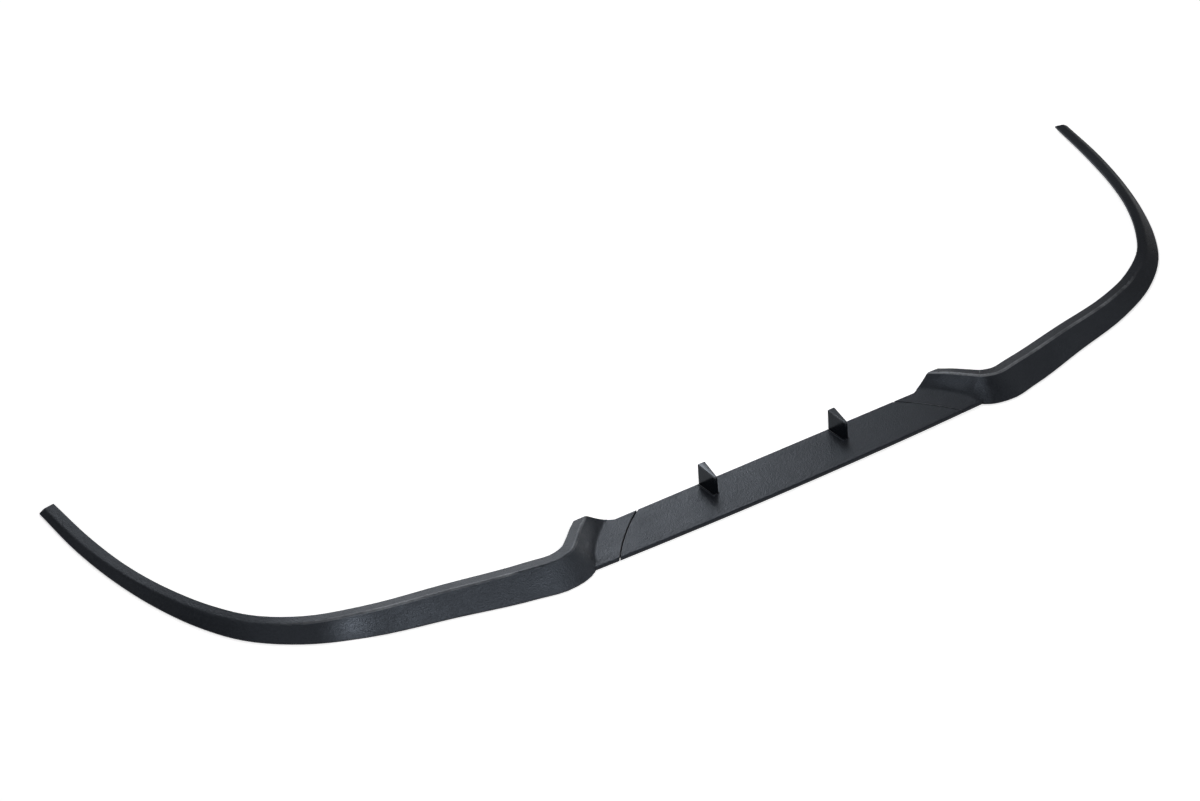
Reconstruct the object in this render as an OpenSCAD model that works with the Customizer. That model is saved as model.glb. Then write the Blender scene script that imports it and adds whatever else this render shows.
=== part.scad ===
// Front splitter lip of a family car: a flat centre plate with two small fins on its rear edge,
// and a sweeping wing on each side that is an open angle section with a sloping front face
// and a narrow ledge on top. Millimetres, +Z up, the front faces -Y, X runs across the car.
// The origin is on the ground below the middle of the lip's box.

/* [Overall] */
// Width across the two wing tips
lip_w = 1650; // [1560:10:1740]
// How far the crest reaches back at the wing tips, from the plate's front edge
tip_back = 456; // [420:1:490]

/* [Centre plate] */
// Depth of the centre plate from its front edge to its rear edge
plate_d = 66; // [60:1:72]
// Height of the plate's top above the ground
plate_h = 5; // [4.4:0.2:7]
// Thickness of the moulded skin of the plate and of the wing's tongue
skin_t = 2.4; // [2:0.1:2.8]
// Thickness of the turned-down front edge
nose_t = 3.2; // [2.4:0.1:5]
// Radius of the rounded top of the front edge
nose_r = 2; // [0.8:0.1:2.4]
// Thickness of the turned-down rear edge
rear_t = 2.4; // [1.6:0.1:4]
// Radius in plan of the slightly bowed front edge
bow_r = 8500; // [8400:100:16000]

/* [Seam] */
// Radius in plan of the seam between the plate and a wing
seam_r = 280; // [250:1:310]
// Distance of the seam's front end from the middle of the lip
seam_x = 266; // [260:1:270]
// Angle of the seam at its front end, away from straight back
seam_turn = 36; // [33:1:40]
// Width of the open line between the plate and the wing
seam_gap = 1.2; // [0.6:0.1:2]
// Radius of the rounded edges beside that line
seam_edge = 0.8; // [0.4:0.1:1.2]
// Width of the wing's tongue that passes under the plate
lap_w = 26; // [16:1:36]
// Clearance between that tongue and the plate
lap_gap = 0.1; // [0.05:0.05:0.4]

/* [Fins] */
// Distance of each fin from the middle of the lip
fin_x = 100; // [80:0.5:120]
// Height of the fins above the plate
fin_h = 27; // [18:0.5:36]
// Length of a fin at its foot
fin_l = 27; // [24:0.5:34]
// How much longer a fin is at its top than at its foot
fin_grow = 6.5; // [2:0.5:9]
// Thickness of a fin at its rear end, at the top
fin_rear_t = 11; // [9:0.1:13]
// Thickness of a fin at its rear end, at the foot
fin_rear_foot = 17; // [14:0.5:20]
// Thickness of a fin at its nose, at the top
fin_nose_t = 4; // [3:0.1:6]
// Thickness of a fin at its nose, at the foot
fin_nose_foot = 7.5; // [6:0.5:10]
// How far the top of a fin leans back
fin_lean = 8.5; // [4:0.5:10]
// Radius of the fillet round a fin's foot
fin_fillet = 1.8; // [0.6:0.1:2.5]
// Radius of a fin's upright edges and of its top edge
fin_round = 1.2; // [0.6:0.1:1.4]
// Wall of the hollow fins
fin_wall = 2.4; // [1.8:0.1:3]

/* [Wings] */
// Distance of the ear's rear end from the middle of the lip
ear_x = 264.5; // [262:0.5:272]
// How far the ear ends behind the plate's rear edge
ear_back = 14.5; // [10:0.5:18]
// Distance of the crest's foremost point from the middle of the lip
bend_x = 334; // [326:1:344]
// How far that point lies behind the plate's front edge
crest_y = 25; // [20:0.5:30]
// Height of the crest at the bend of the wing, where it is highest
front_h = 24.5; // [21:0.5:30]
// Height of the crest at the wing tip
tip_h = 5.8; // [4.4:0.1:8]
// Width in plan of the sloping face along the front of the wing
front_run = 33; // [28:0.5:36]
// Width in plan of the sloping face at the wing tip
tip_run = 6.7; // [6:0.1:10]
// Width of the ledge on top of the wing, where it is widest
ledge_w = 16; // [13:0.5:18]
// How far the ledge falls towards its inner edge along the front
ledge_fall = 4; // [1:0.5:6]
// Radius of the rounded crest between face and ledge
crest_r = 2.4; // [1.2:0.1:3]
// Wall thickness of the wing
wall_t = 3; // [2.4:0.1:3.4]
// Height of the upright lower edge of the face
edge_h = 2; // [1.2:0.1:2.6]
// Width of the hollow curve where the face runs out onto the tongue
flare_w = 7; // [5:0.5:10]

/* [Hidden] */
BLACK = "#2e3034";
GREY = "#34373b";

// Plan of the ear's crest, as shares of the way from its rear end to the bend
EAR_PLAN = [[0, 0], [0.29, 0.37], [0.53, 0.7], [0.715, 0.91]];
// Plan of the wing's crest, as shares of the way outward and back from the bend to the tip
WING_PLAN = [[0, 0], [0.08, 0.014], [0.288, 0.06], [0.497, 0.11], [0.632, 0.173],
    [0.746, 0.258], [0.813, 0.35], [0.876, 0.472], [0.93, 0.624], [0.97, 0.796], [1, 1]];
// Height of the crest at those points, from 0 at tip_h to 1 at front_h
RISE = [0.53, 0.8, 0.94, 1, 0.94, 0.84, 0.79, 0.7, 0.39, 0.32, 0.3, 0.27, 0.15, 0.03, 0];
// Width of the face at those points, from 0 at tip_run to 1 at front_run
SPREAD = [0.7, 0.61, 0.68, 0.93, 0.98, 1, 0.82, 0.67, 0.63, 0.46, 0.36, 0.23, 0.14, 0.09, 0];
// Fall of the ledge at those points, as a share of ledge_fall
FALL = [0.1, 0.55, 0.65, 0.8, 0.9, 0.95, 0.85, 0.7, 0.25, -0.25, -0.25, -0.2, -0.1, -0.1, -0.1];
// Width of the ledge at those points, as a share of ledge_w
LEDGE = [0.8, 0.83, 0.9, 0.97, 1, 1, 0.97, 0.88, 0.82, 0.8, 0.8, 0.82, 0.85, 0.9, 0.9];
// Direction in plan of the ear's rear end, from the face's foot to the crest
EAR_END = [0.93, 0.37];
STEPS = 5;
FACE_STEPS = 4;
fan_l = 43;
tip_x = lip_w/2 - tip_run*0.99;
ear_y = plate_d + ear_back;
soffit_z = plate_h - skin_t;

crest_plan = concat(
    [for (p = EAR_PLAN) [ear_x + p.x*(bend_x - ear_x), ear_y + p.y*(crest_y - ear_y)]],
    [for (p = WING_PLAN) [bend_x + p.x*(tip_x - bend_x), crest_y + p.y*(tip_back - crest_y)]]);
crest_z = [for (k = RISE) tip_h + k*(front_h - tip_h)];
face_run = [for (k = SPREAD) tip_run + k*(front_run - tip_run)];
falls = [for (k = FALL) k*ledge_fall];
ledges = [for (k = LEDGE) k*ledge_w];
spans = [for (i = [0:len(crest_plan) - 2]) norm(crest_plan[i + 1] - crest_plan[i])];

function clamp(v) = min(1, max(0, v));
function soft(v) = let (c = clamp(v)) c*c*(3 - 2*c);
function unit(v) = v/norm(v);
function mix(a, b, k) = a*(1 - k) + b*k;

// Smooth curve through values V whose points lie at distances L from one another
function slope(V, L, i) =
    i == 0 ? (V[1] - V[0])/L[0]
    : i == len(V) - 1 ? (V[i] - V[i - 1])/L[i - 1]
    : ((V[i] - V[i - 1])*L[i]/L[i - 1] + (V[i + 1] - V[i])*L[i - 1]/L[i])/(L[i - 1] + L[i]);
function along(V, L, i, t) =
    mix(V[i], V[i + 1], t*t*(3 - 2*t))
    + slope(V, L, i)*L[i]*t*(1 - t)*(1 - t) - slope(V, L, i + 1)*L[i]*t*t*(1 - t);
function heading(V, L, i, t) = unit(
    (V[i + 1] - V[i])*6*t*(1 - t)
    + slope(V, L, i)*L[i]*(1 - 4*t + 3*t*t) + slope(V, L, i + 1)*L[i]*(3*t*t - 2*t));

// Bent line of three points, as n + 1 points
function bend(a, b, c, n) = [for (k = [0:n]) let (t = k/n) mix(mix(a, b, t), mix(b, c, t), t)];
function bend_dir(a, b, c, t) = unit(mix(b - a, c - b, t));

// Outer line of the section, from the foot over the crest to the ledge's inner edge.
// s is measured inward from the crest, z is the height.
function face_ends(run, h, w) = let (
    e = min(edge_h, 0.35*h),
    zf = mix(e, plate_h, soft(w)),
    foot = [-run, zf],
    top = [0, h],
    c = min(crest_r, 0.4*h),
    head = top - c*unit(top - foot),
    straight = (foot + head)/2,
    hollow = [-run + flare_w, zf + 0.3])
    [foot, mix(straight, hollow, soft(w)), head];
function outer_line(run, h, fall, wide, w) = let (
    f = face_ends(run, h, w),
    g = [wide, -fall],
    c = min(crest_r, 0.4*h),
    top = [0, h],
    r = 0.3*min(edge_h, 0.35*h))
    concat(
        [[-run + r, 0], [-run, r]],
        bend(f[0], f[1], f[2], FACE_STEPS),
        [for (k = [1:3]) bend(f[2], top, top + c*unit(g), 3)[k]],
        [top + g*(1 - 0.8/wide), top + g - [0, 0.8]]);
function inner_line(run, h, fall, wide, w) = let (
    f = face_ends(run, h, w),
    wall = min(wall_t, 0.42*h),
    fall_k = fall/wide,
    under = h - wall*sqrt(1 + fall_k*fall_k),
    d = bend_dir(f[0], f[1], f[2], 1),
    q = f[2] + wall*[d.y, -d.x],
    far = (under - q.x*fall_k - q.y)/(d.y + d.x*fall_k),
    corner = q + far*d,
    skin = [for (k = [0:FACE_STEPS]) let (
        t = mix(0.12, 1, k/FACE_STEPS),
        b = bend_dir(f[0], f[1], f[2], t),
        p = mix(mix(f[0], f[1], t), mix(f[1], f[2], t), t) + wall*[b.y, -b.x])
        [p.x, max(p.y, 0.5)]])
    concat(
        [[skin[0].x - 0.6, 0], [skin[0].x - 0.3, 0.25]],
        skin,
        [mix(q, corner, 0.5), corner, [corner.x + 1, under - (corner.x + 1)*fall_k]],
        [[wide - 1.2, under - (wide - 1.2)*fall_k], [wide, under - fall]]);

// One cross-section of the wing at share t of span i. At the ear's rear end the face and
// the ledge turn from square across the crest, n, to directions of their own, b and m.
function placed(line, at, n, b, m) = [for (p = line)
    let (e = p.x < 0 ? b : m, s = e*p.x/(e*n)) [at.x + s.x, at.y + s.y, p.y]];
function before(i) = i <= 0 ? 0 : spans[i - 1] + before(i - 1);
function section(i, t) = let (
    at = along(crest_plan, spans, i, t),
    d = heading(crest_plan, spans, i, t),
    n = [-d.y, d.x],
    fan = 1 - soft((before(i) + t*spans[i])/fan_l),
    m = unit(mix(n, [1, 0], fan)),
    b = unit(mix(n, EAR_END, fan)),
    run = along(face_run, spans, i, t),
    h = along(crest_z, spans, i, t),
    fall = along(falls, spans, i, t),
    wide = along(ledges, spans, i, t),
    foot = at - b*run/(b*n),
    w = i > 4 ? 0 : clamp((foot.y - 0.1*plate_d + 6)/11))
    [placed(outer_line(run, h, fall, wide, w), at, n, b, m),
        placed(inner_line(run, h, fall, wide, w), at, n, b, m),
        foot, b];

sections = concat(
    [for (i = [0:len(spans) - 1]) for (k = [0:STEPS - 1]) section(i, k/STEPS)],
    [section(len(spans) - 1, 1)]);
reach = [for (s = sections) for (p = s[0]) p.y];
y_mid = (min(reach) + max(reach))/2;

// Closed shell between an outer and an inner skin, given as matching lines of points
module shell(outer, inner) {
    rows = len(outer);
    cols = len(outer[0]);
    half = rows*cols;
    function o(r, c) = r*cols + c;
    function n(r, c) = half + r*cols + c;
    quads = concat(
        [for (r = [0:rows - 2]) for (c = [0:cols - 2])
            [o(r, c), o(r, c + 1), o(r + 1, c + 1), o(r + 1, c)]],
        [for (r = [0:rows - 2]) for (c = [0:cols - 2])
            [n(r, c), n(r + 1, c), n(r + 1, c + 1), n(r, c + 1)]],
        [for (r = [0:rows - 2]) [o(r, 0), o(r + 1, 0), n(r + 1, 0), n(r, 0)]],
        [for (r = [0:rows - 2])
            [o(r, cols - 1), n(r, cols - 1), n(r + 1, cols - 1), o(r + 1, cols - 1)]],
        [for (c = [0:cols - 2]) [o(0, c), n(0, c), n(0, c + 1), o(0, c + 1)]],
        [for (c = [0:cols - 2])
            [o(rows - 1, c), o(rows - 1, c + 1), n(rows - 1, c + 1), n(rows - 1, c)]]);
    faces = [for (q = quads) for (k = [1, 2]) [q[0], q[k], q[k + 1]]];
    polyhedron(
        [for (line = concat(outer, inner)) for (p = line) p],
        faces,
        convexity = 6);
}

// Solid through closed rings of points, one above the other
module stack(rings) {
    n = len(rings[0]);
    top = len(rings) - 1;
    sides = [for (r = [0:top - 1]) for (c = [0:n - 1]) let (e = (c + 1) % n)
        for (f = [[r*n + c, (r + 1)*n + c, (r + 1)*n + e], [r*n + c, (r + 1)*n + e, r*n + e]]) f];
    caps = [[for (c = [0:n - 1]) c], [for (c = [n - 1:-1:0]) top*n + c]];
    polyhedron([for (r = rings) for (p = r) p], concat(caps, sides), convexity = 4);
}

// Bowed bar whose front edge is the plate's front edge
module bowed(profile, half_w) {
    a = asin(half_w/bow_r);
    translate([0, bow_r, 0])
        rotate(-90 - a)
            rotate_extrude(angle = 2*a, $fn = 2400)
                polygon([for (p = profile) [bow_r - p.x, p.y]]);
}

// Section of the tray from front to rear, with its rounded and turned-down front edge
function tray_line(back) = concat(
    [[0, 0]],
    [for (a = [0:22.5:90]) [nose_r - nose_r*cos(a), plate_h - nose_r + nose_r*sin(a)]],
    [[back, plate_h], [back, soffit_z], [nose_t, soffit_z], [nose_t, 0]]);

// The seam is an arc: its middle lies in front of the lip, and the plate is inside it
seam_c = [seam_x - seam_r*cos(seam_turn), -seam_r*sin(seam_turn)];

// Everything inside the seam, its top edge rounded
module seam_plug(side) {
    r = seam_r - seam_gap/2;
    e = seam_edge;
    translate([side*seam_c.x, seam_c.y, 0])
        rotate_extrude($fn = 360)
            polygon(concat(
                [[0, -1], [r, -1]],
                [for (a = [0:30:90]) [r - e + e*cos(a), plate_h - e + e*sin(a)]],
                [[0, plate_h]]));
}

// Everything outside the seam, its top edge rounded
module seam_ring() {
    r = seam_r + seam_gap/2;
    e = seam_edge;
    translate([seam_c.x, seam_c.y, 0])
        rotate_extrude($fn = 360)
            polygon(concat(
                [[r, -1], [2*seam_r, -1], [2*seam_r, plate_h]],
                [for (a = [0:30:90]) [r + e - e*sin(a), plate_h - e + e*cos(a)]]));
}

// Fin with a rear end, a nose and a fillet round its foot
function quad_ring(half_rear, half_nose, rear_y, nose_y, z, r) = let (
    q = [[half_rear, rear_y], [-half_rear, rear_y], [-half_nose, nose_y], [half_nose, nose_y]])
    [for (k = [0:3]) let (a = q[(k + 3) % 4], b = q[k], c = q[(k + 1) % 4])
        for (p = bend(b + r*unit(a - b), b, b + r*unit(c - b), 3)) [p.x, p.y, z]];
function fin_ring(z, grow, nose_in, r) = let (
    k = (z - plate_h)/fin_h,
    lean = k*fin_lean,
    rear_y = plate_d - fin_fillet + lean,
    nose_y = rear_y - fin_l - k*fin_grow,
    rear_half = mix(fin_rear_foot, fin_rear_t, k)/2,
    nose_half = mix(mix(fin_nose_foot, fin_nose_t, k)/2, rear_half, nose_in/fin_l))
    quad_ring(rear_half + grow, nose_half + grow, rear_y + grow, nose_y + nose_in - grow, z, r);
module fin() {
    top = plate_h + fin_h;
    stack(concat(
        [fin_ring(plate_h - skin_t/2, fin_fillet, 0, fin_round + fin_fillet)],
        [for (a = [0:30:90]) fin_ring(plate_h + fin_fillet*(1 - cos(a)), fin_fillet*(1 - sin(a)),
            0, fin_round + fin_fillet*(1 - sin(a)))],
        [for (a = [0:30:90]) fin_ring(top - fin_round*(1 - sin(a)), -fin_round*(1 - cos(a)),
            0, fin_round - 0.6*fin_round*(1 - cos(a)))]));
}
module fin_core() {
    stack([for (z = [-1, plate_h + fin_h - fin_wall])
        fin_ring(z, -fin_wall, 5*fin_wall, 0.5)]);
}

module tray() {
    intersection() {
        union() {
            bowed(tray_line(plate_d + 20), seam_x + 6);
            translate([-seam_x, plate_d - rear_t, 0])
                cube([2*seam_x, rear_t, plate_h - skin_t/2]);
        }
        translate([-seam_x - 10, -1, -1])
            cube([2*seam_x + 20, plate_d + 1, plate_h + 2]);
    }
}

module plate_body() {
    intersection() {
        tray();
        for (side = [-1, 1])
            intersection() {
                seam_plug(side);
                translate([side > 0 ? 0 : -2*seam_x, -1, -1])
                    cube([2*seam_x, plate_d + 2, plate_h + 2]);
            }
    }
}

// Room under the plate's rear edge for the wing's tongue
module lap_room() {
    for (side = [-1, 1])
        intersection() {
            difference() {
                translate([side*seam_c.x, seam_c.y, -1])
                    cylinder(r = seam_r + 5, h = soffit_z + 1, $fn = 360);
                translate([side*seam_c.x, seam_c.y, -2])
                    cylinder(r = seam_r - lap_w - 1, h = soffit_z + 3, $fn = 360);
            }
            translate([side > 0 ? 0 : -seam_x - 20, plate_d/2, -1])
                cube([seam_x + 20, plate_d, soffit_z + 1]);
        }
}

module centre_plate() {
    color(GREY)
        difference() {
            union() {
                plate_body();
                for (side = [-1, 1])
                    translate([side*fin_x, 0, 0])
                        fin();
            }
            for (side = [-1, 1])
                translate([side*fin_x, 0, 0])
                    fin_core();
            lap_room();
        }
}

// Flat part of the wing between the seam and the ear
ear_feet = [for (s = sections) if (s[2].x < bend_x - 20 && s[2].y > 0) s[2] + 1.5*s[3]];
module tongue_plan() {
    last = len(ear_feet) - 1;
    end = ear_feet[0] + 0.5*[EAR_END.y, -EAR_END.x];
    polygon(concat(
        [[seam_c.x, plate_d], [seam_c.x, -5], [ear_feet[last].x, -5]],
        [for (k = [last:-1:1]) ear_feet[k]],
        bend(end, [end.x - 4, end.y - 2.2], [end.x - 9.5, plate_d], 4)));
}
module tongue() {
    intersection() {
        bowed(tray_line(plate_d + 20), bend_x);
        intersection() {
            seam_ring();
            translate([0, 0, -1])
                linear_extrude(plate_h + 2)
                    tongue_plan();
        }
    }
}

// Lower tongue that passes under the plate
module lap() {
    lap_front = seam_x*seam_x/(2*bow_r) + nose_t + 1;
    lap_z = soffit_z - lap_gap;
    intersection() {
        union() {
            difference() {
                translate([seam_c.x, seam_c.y, 0])
                    cylinder(r = seam_r + 8, h = lap_z, $fn = 360);
                translate([seam_c.x, seam_c.y, -1])
                    cylinder(r = seam_r - lap_w, h = lap_z + 2, $fn = 360);
            }
            difference() {
                translate([seam_c.x, seam_c.y, 0])
                    cylinder(r = seam_r + 8, h = soffit_z + skin_t/2, $fn = 360);
                translate([seam_c.x, seam_c.y, -1])
                    cylinder(r = seam_r + seam_gap/2, h = plate_h, $fn = 360);
            }
        }
        translate([seam_c.x, lap_front, -1])
            cube([seam_r, plate_d - lap_front, plate_h + 1]);
    }
}

module wing() {
    color(BLACK)
        union() {
            shell([for (s = sections) s[0]], [for (s = sections) s[1]]);
            tongue();
            lap();
        }
}

module right_wing() { wing(); }
module left_wing() { mirror([1, 0, 0]) wing(); }

module placed_part() { translate([0, -y_mid, 0]) children(); }

placed_part() centre_plate();
placed_part() left_wing();
placed_part() right_wing();
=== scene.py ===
import bmesh
import bpy
import math
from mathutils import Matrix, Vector


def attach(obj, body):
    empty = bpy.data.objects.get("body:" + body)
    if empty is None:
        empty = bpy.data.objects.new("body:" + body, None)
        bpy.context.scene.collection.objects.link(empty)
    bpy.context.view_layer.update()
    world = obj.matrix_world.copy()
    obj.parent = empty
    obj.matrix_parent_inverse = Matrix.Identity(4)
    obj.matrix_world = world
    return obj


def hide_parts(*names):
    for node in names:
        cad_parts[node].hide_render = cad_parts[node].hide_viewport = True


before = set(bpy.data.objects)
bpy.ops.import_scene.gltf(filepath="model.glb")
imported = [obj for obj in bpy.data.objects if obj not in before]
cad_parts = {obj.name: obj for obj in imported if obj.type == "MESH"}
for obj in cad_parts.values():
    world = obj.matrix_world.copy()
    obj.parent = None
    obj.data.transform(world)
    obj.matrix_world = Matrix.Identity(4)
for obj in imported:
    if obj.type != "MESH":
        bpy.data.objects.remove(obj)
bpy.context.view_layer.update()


# Colours of the black plastic, linear
BLACK = (0.0125, 0.0140, 0.0175)
FIN_BLACK = (0.004, 0.005, 0.007)
# Near-black for the joint's walls and floor: painted shade where the gap lies in shadow
RECESS_SHADE_BLACK = (0.002, 0.002, 0.002)
# Lighter colour of rubbed edges: partly wear, partly a painted highlight along the crest and the
# joints' lips
WORN_AND_HIGHLIGHT = (0.200, 0.208, 0.222)
SHEEN_TINT = (0.75, 0.85, 1.0, 1)
PLASTIC_IOR = 1.5

# Each noise as scale per metre, detail and roughness
CLOUD = (13.0, 4.0, 0.55)
BLOTCH = (75.0, 3.0, 0.6)
MOTTLE = (330.0, 2.0, 0.6)
FINE = (900.0, 1.0, 0.5)
PATCH = (9.0, 5.0, 0.7)
STREAK = (1.0, 3.0, 0.6)
STREAK_STRETCH = (9.0, 210.0, 210.0)
MIDDLE = (0.3, 0.7)
STREAK_MIDDLE = (0.35, 0.65)
PATCH_MIDDLE = (0.4, 0.6)
PATCH_LEAST = 0.1

# How far the noises and the wear with its painted highlight move colour and roughness
COLOUR_RANGE = (0.85, 1.15)
SPECKLE_RANGE = (0.75, 1.25)
SPECKLE_SHARE = 0.8
RUB_AND_HIGHLIGHT_COLOUR = 0.85
RUB_GLOSS = 0.08
CLOUD_GLOSS, BLOTCH_GLOSS, MOTTLE_GLOSS, STREAK_GLOSS = 0.055, 0.03, 0.04, 0.02

# Depths of the bumps in metres, and their strengths as shares of the grain
PEBBLE_SCALE, PEBBLE_DEPTH = 800.0, 0.0004
FINE_DEPTH, FINE_SHARE = 0.0005, 0.6
MOTTLE_DEPTH, MOTTLE_SHARE = 0.0003, 0.9

# Where the fins and the joints are, as distances from the middle and heights in metres
FIN_X, FIN_HALF, FIN_Z = 0.100, 0.016, 0.0056
SEAM_X, SEAM_LOW = (0.215, 0.300), 0.0045
TONGUE_TOP = 0.003
MOSTLY = 0.5
OUTSIDE, FIN, SHADE_RECESS = 0, 1, 2

# What counts as a worn strip with a painted highlight: its width, turn, height, tilt and place
STRIP, TURN = 0.0016, math.radians(5)
LIP_LOW, LIP_TILT = SEAM_LOW - 0.0008, 0.3
EDGE_LOW, FACES_UP = 0.0065, 0.2
WEAR_AND_HIGHLIGHT_END, WEAR_AND_HIGHLIGHT_FADE = 0.68, 0.12

# Welding and shading of the skins
WELD = 2e-5
SHARP = math.radians(32)
NORMAL_WEIGHT = 80

# The studio
FLOOR_SIZE, FLOOR_Z = 30, -0.0005
FLOOR_TONE, FLOOR_GLOW = (0.9, 0.9, 0.9, 1), 0.6
WORLD_LIGHT, WORLD_SEEN = 0.12, 0.71
WHITE = (1, 1, 1, 1)
CENTRE = (0, -0.1, 0)

# The photograph's camera: degrees, and the focal length in pixels of a 1200 pixel wide image
Y_MID = 0.22526
CAMERA_AT = (-1.4236, -1.8017 - Y_MID, 2.0076)
CAMERA_DOWN, CAMERA_TURN = 39.307, -32.088
FOCAL_PX, IMAGE_PX = 2428.5, 1200
SENSOR_MM, CLIP_END = 36, 60


class Nodes:
    """Short calls for the nodes of one material; a number in place of a socket is its constant."""

    def __init__(self, name):
        self.material = bpy.data.materials.new(name)
        self.material.use_nodes = True
        self.tree = self.material.node_tree
        self.tree.nodes.clear()

    def add(self, kind, **values):
        node = self.tree.nodes.new(kind)
        for key, value in values.items():
            setattr(node, key, value)
        return node

    def link(self, out, socket):
        self.tree.links.new(out, socket)

    def noise(self, vector, scale, detail, rough):
        n = self.add("ShaderNodeTexNoise")
        n.inputs["Scale"].default_value = scale
        n.inputs["Detail"].default_value = detail
        n.inputs["Roughness"].default_value = rough
        self.link(vector, n.inputs["Vector"])
        return n.outputs["Fac"]

    def spread(self, value, low, high, to_low=0.0, to_high=1.0):
        n = self.add("ShaderNodeMapRange")
        n.inputs["From Min"].default_value = low
        n.inputs["From Max"].default_value = high
        n.inputs["To Min"].default_value = to_low
        n.inputs["To Max"].default_value = to_high
        self.link(value, n.inputs["Value"])
        return n.outputs[0]

    def math(self, operation, a, b):
        n = self.add("ShaderNodeMath", operation=operation)
        for socket, v in ((n.inputs[0], a), (n.inputs[1], b)):
            if isinstance(v, float):
                socket.default_value = v
            else:
                self.link(v, socket)
        return n.outputs[0]

    def mix(self, fac, a, b, blend="MIX"):
        n = self.add("ShaderNodeMix", data_type="RGBA", blend_type=blend)
        for socket, v in ((n.inputs[0], fac), (n.inputs[6], a), (n.inputs[7], b)):
            if isinstance(v, (float, tuple)):
                socket.default_value = v
            else:
                self.link(v, socket)
        return n.outputs[2]

    def bump(self, height, strength, distance, normal=None):
        n = self.add("ShaderNodeBump")
        n.inputs["Strength"].default_value = strength
        n.inputs["Distance"].default_value = distance
        self.link(height, n.inputs["Height"])
        if normal:
            self.link(normal, n.inputs["Normal"])
        return n.outputs[0]


def tone(colour, times=1.0):
    return (*[c * times for c in colour], 1.0)


def grained(name, base, rough, grain, vary, specular=0.5):
    """Moulded black plastic: fine grain, cloudy gloss, faint streaks, and worn edges made lighter with
    a painted highlight.

    rough is the mean roughness, grain the strength of the bumps, and vary how uneven the gloss is.
    """
    m = Nodes(name)
    out = m.add("ShaderNodeOutputMaterial")
    bsdf = m.add("ShaderNodeBsdfPrincipled")
    m.link(bsdf.outputs[0], out.inputs[0])
    bsdf.inputs["IOR"].default_value = PLASTIC_IOR
    bsdf.inputs["Specular IOR Level"].default_value = specular
    bsdf.inputs["Specular Tint"].default_value = SHEEN_TINT

    place = m.add("ShaderNodeTexCoord").outputs["Object"]
    cloud = m.spread(m.noise(place, *CLOUD), *MIDDLE)
    blotch = m.spread(m.noise(place, *BLOTCH), *MIDDLE)
    mottle = m.spread(m.noise(place, *MOTTLE), *MIDDLE)
    fine = m.noise(place, *FINE)
    stretch = m.add("ShaderNodeMapping")
    stretch.inputs["Scale"].default_value = STREAK_STRETCH
    m.link(place, stretch.inputs["Vector"])
    streak = m.spread(m.noise(stretch.outputs[0], *STREAK), *STREAK_MIDDLE)
    edge = m.add("ShaderNodeAttribute", attribute_name="edge_wear_and_highlight").outputs["Fac"]
    patchy = m.spread(m.noise(place, *PATCH), *PATCH_MIDDLE, PATCH_LEAST, 1.0)
    rub_and_highlight = m.math("MULTIPLY", edge, patchy)

    colour = m.mix(cloud, tone(base, COLOUR_RANGE[0]), tone(base, COLOUR_RANGE[1]))
    speckle = m.spread(mottle, 0.0, 1.0, *SPECKLE_RANGE)
    colour = m.mix(SPECKLE_SHARE, colour, speckle, "MULTIPLY")
    # Rubbed edges made lighter: partly wear, partly a painted highlight
    colour = m.mix(m.math("MULTIPLY", rub_and_highlight, RUB_AND_HIGHLIGHT_COLOUR), colour, tone(WORN_AND_HIGHLIGHT))
    m.link(colour, bsdf.inputs["Base Color"])

    swing = CLOUD_GLOSS * vary
    gloss = m.spread(cloud, 0.0, 1.0, rough - swing, rough + swing)
    for part, share in ((blotch, BLOTCH_GLOSS), (mottle, MOTTLE_GLOSS), (streak, STREAK_GLOSS)):
        gloss = m.math("ADD", gloss, m.spread(part, 0.0, 1.0, -share * vary, share * vary))
    gloss = m.math("SUBTRACT", gloss, m.math("MULTIPLY", rub_and_highlight, RUB_GLOSS * vary))
    m.link(gloss, bsdf.inputs["Roughness"])

    pebbles = m.add("ShaderNodeTexVoronoi")
    pebbles.inputs["Scale"].default_value = PEBBLE_SCALE
    m.link(place, pebbles.inputs["Vector"])
    normal = m.bump(pebbles.outputs["Distance"], grain, PEBBLE_DEPTH)
    normal = m.bump(fine, grain * FINE_SHARE, FINE_DEPTH, normal)
    normal = m.bump(mottle, grain * MOTTLE_SHARE, MOTTLE_DEPTH, normal)
    m.link(normal, bsdf.inputs["Normal"])
    return m.material


def white_floor():
    """White to the camera, and plain pale plastic to the light, so that it keeps the shadow."""
    m = Nodes("floor_white")
    out = m.add("ShaderNodeOutputMaterial")
    diffuse = m.add("ShaderNodeBsdfDiffuse")
    diffuse.inputs["Color"].default_value = FLOOR_TONE
    glow = m.add("ShaderNodeEmission")
    glow.inputs["Color"].default_value = WHITE
    seen = m.add("ShaderNodeLightPath").outputs["Is Camera Ray"]
    m.link(m.math("MULTIPLY", seen, FLOOR_GLOW), glow.inputs["Strength"])
    both = m.add("ShaderNodeAddShader")
    m.link(diffuse.outputs[0], both.inputs[0])
    m.link(glow.outputs[0], both.inputs[1])
    m.link(both.outputs[0], out.inputs[0])
    return m.material


def zone(face, is_plate):
    """The material of a face: the outside, a fin, or the walls and floor down in the joint beside the
    plate, which are painted near-black as shade.
    """
    at, n = face.calc_center_median(), face.normal
    side = math.copysign(1.0, at.x)
    if is_plate and abs(abs(at.x) - FIN_X) < FIN_HALF and at.z > FIN_Z:
        return FIN
    if SEAM_X[0] < abs(at.x) < SEAM_X[1] and at.z < SEAM_LOW:
        facing = n.x * side if is_plate else -n.x * side
        wall = facing > MOSTLY and abs(n.z) < MOSTLY
        ground = not is_plate and n.z > MOSTLY and at.z < TONGUE_TOP
        # The joint's walls and floor get the painted shade
        if wall or ground:
            return SHADE_RECESS
    return OUTSIDE


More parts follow.
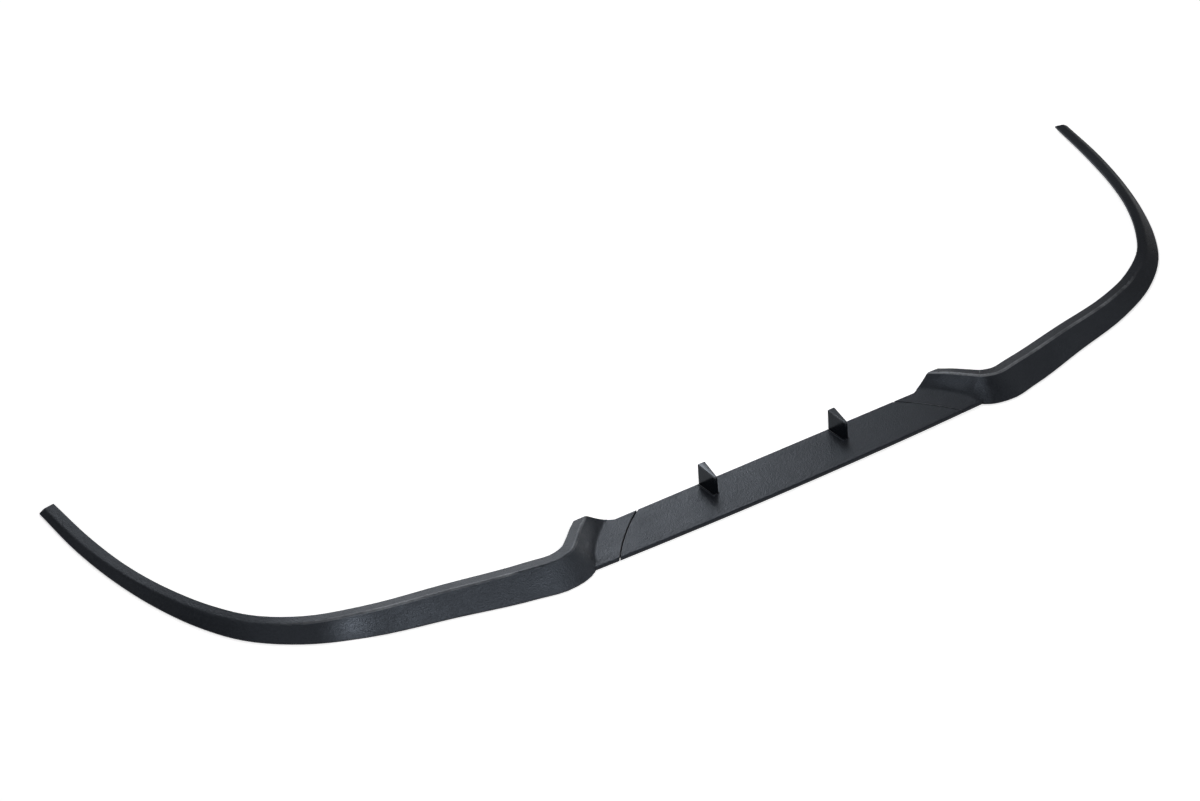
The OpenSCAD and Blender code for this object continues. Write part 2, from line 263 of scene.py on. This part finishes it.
def worn_and_highlit(face):
    """Wear and a painted highlight of a narrow strip on a rounded upper edge, such as the crest, a
    fin's rim or a joint's lip.

    It is 1 in the middle of the part, fades out before the tips, and is 0 on every other face.
    """
    at, n = face.calc_center_median(), face.normal
    lip = SEAM_X[0] < abs(at.x) < SEAM_X[1] and at.z > LIP_LOW and abs(n.x) > LIP_TILT
    if not (lip or at.z > EDGE_LOW) or n.z < FACES_UP:
        return 0.0
    width = 2 * face.calc_area() / max(e.calc_length() for e in face.edges)
    joined = (e for e in face.edges if len(e.link_faces) == 2)
    bent = any(e.calc_face_angle_signed(0) > TURN for e in joined)
    fade = min(1.0, max(0.0, (WEAR_AND_HIGHLIGHT_END - abs(at.x)) / WEAR_AND_HIGHLIGHT_FADE))
    return fade if width < STRIP and bent else 0.0


def finer(node, name, plastic):
    """Smoothly shaded copy of a node, sharp only where its faces turn hard, with the worn edges and
    their painted highlight marked.
    """
    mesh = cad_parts[node].data.copy()
    mesh.name = name
    ob = bpy.data.objects.new(name, mesh)
    bpy.context.scene.collection.objects.link(ob)
    bm = bmesh.new()
    bm.from_mesh(mesh)
    bmesh.ops.remove_doubles(bm, verts=bm.verts, dist=WELD)
    wear_and_highlight = bm.faces.layers.float.new("edge_wear_and_highlight")
    for f in bm.faces:
        f.smooth = True
        f.material_index = zone(f, node == "centre_plate")
        f[wear_and_highlight] = worn_and_highlit(f)
    for e in bm.edges:
        if len(e.link_faces) == 2:
            e.smooth = abs(e.calc_face_angle_signed(0)) <= SHARP
    # Clearing the slots resets the indices of a mesh, so it comes before the faces are written
    mesh.materials.clear()
    for each in (plastic, fin_plastic, recess_painted_shade):
        mesh.materials.append(each)
    bm.to_mesh(mesh)
    bm.free()
    normals = ob.modifiers.new("normals", "WEIGHTED_NORMAL")
    normals.keep_sharp = True
    normals.weight = NORMAL_WEIGHT
    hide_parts(node)
    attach(ob, "root")


def lamp(name, kind, loc, target, power):
    data = bpy.data.lights.new(name, kind)
    data.energy = power
    ob = bpy.data.objects.new(name, data)
    bpy.context.scene.collection.objects.link(ob)
    ob.location = loc
    ob.rotation_euler = (Vector(target) - Vector(loc)).to_track_quat("-Z", "Y").to_euler()
    return data


def area(name, loc, target, size, power, size_y=None):
    data = lamp(name, "AREA", loc, target, power)
    data.size = size
    if size_y:
        data.shape = "RECTANGLE"
        data.size_y = size_y


def spot(name, loc, target, degrees, power, size):
    data = lamp(name, "SPOT", loc, target, power)
    data.spot_size = math.radians(degrees)
    data.spot_blend = 1.0
    data.shadow_soft_size = size


plate_plastic = grained("grained_plate", BLACK, rough=0.36, grain=0.42, vary=1.0)
wing_plastic = grained("grained_wing", BLACK, rough=0.36, grain=0.42, vary=0.9)
fin_plastic = grained("glossy_fin", FIN_BLACK, rough=0.15, grain=0.05, vary=0.4, specular=0.48)
# The joint's walls and floor: painted shade, near-black and dull
recess_painted_shade = grained("painted_shade_recess", RECESS_SHADE_BLACK, rough=0.6, grain=0.2, vary=0.5, specular=0.1)

finer("centre_plate", "plate_skin", plate_plastic)
finer("left_wing", "left_wing_skin", wing_plastic)
finer("right_wing", "right_wing_skin", wing_plastic)

bpy.ops.mesh.primitive_plane_add(size=FLOOR_SIZE, location=(0, 0, FLOOR_Z))
floor = bpy.context.object
floor.name = "floor"
floor.data.materials.append(white_floor())

# The world lights the part weakly, and the camera sees it as pale as the far floor
world = bpy.data.worlds.new("studio")
bpy.context.scene.world = world
world.use_nodes = True
tree = world.node_tree
background = tree.nodes["Background"]
background.inputs["Color"].default_value = WHITE
seen = tree.nodes.new("ShaderNodeLightPath")
level = tree.nodes.new("ShaderNodeMapRange")
level.inputs["To Min"].default_value = WORLD_LIGHT
level.inputs["To Max"].default_value = WORLD_SEEN
tree.links.new(seen.outputs["Is Camera Ray"], level.inputs["Value"])
tree.links.new(level.outputs[0], background.inputs["Strength"])

# Soft boxes: place, what it points at, size in metres and power in watts
area("back_right", (0.4, 1.0, 1.2), CENTRE, size=0.6, power=6.7)
area("back_far", (0.0, 2.4, 1.72), CENTRE, size=1.2, power=9.5)
area("right_near", (1.0, 1.0, 1.2), CENTRE, size=0.6, power=1.0)
area("back_low", (0.0, 1.3, 0.4), CENTRE, size=0.6, power=1.9)
area("back_low_right", (1.5, 2.4, 0.6), CENTRE, size=1.2, power=3.6)
area("front", (-0.30, -0.92, 1.2), (-0.45, -0.2, 0), size=0.8, power=5.8, size_y=0.3)
area("left_near", (-0.8, -0.1, 1.3), CENTRE, size=0.6, power=0.9)
area("right_far", (2.3, -0.9, 1.72), CENTRE, size=1.2, power=3.3)
area("left_low", (-1.8, 0.8, 0.8), CENTRE, size=0.6, power=0.6)

# Small fills: the light patch on the left front face, and the left ear's wall
LEFT_FRONT = (-0.594, -0.157, 0.010)
EAR_WALL = (-0.295, -0.185, 0.012)
EAR_ROOT = (-0.312, -0.205, 0.010)
spot("left_sheen", (-0.865, -0.77, 1.345), LEFT_FRONT, degrees=1.9, power=40, size=0.02)
spot("ear_fill", (1.70, 0.22, 0.33), EAR_WALL, degrees=5.5, power=14, size=0.10)
spot("ear_turn", (1.23, -0.64, 1.33), EAR_ROOT, degrees=4.0, power=22, size=0.10)

cam_data = bpy.data.cameras.new("camera")
cam = bpy.data.objects.new("camera", cam_data)
bpy.context.scene.collection.objects.link(cam)
cam.location = CAMERA_AT
cam.rotation_euler = (math.radians(90 - CAMERA_DOWN), 0, math.radians(CAMERA_TURN))
cam_data.sensor_width = SENSOR_MM
cam_data.lens = SENSOR_MM * FOCAL_PX / IMAGE_PX
cam_data.clip_end = CLIP_END
bpy.context.scene.camera = cam
bpy.context.scene.view_settings.view_transform = "Standard"
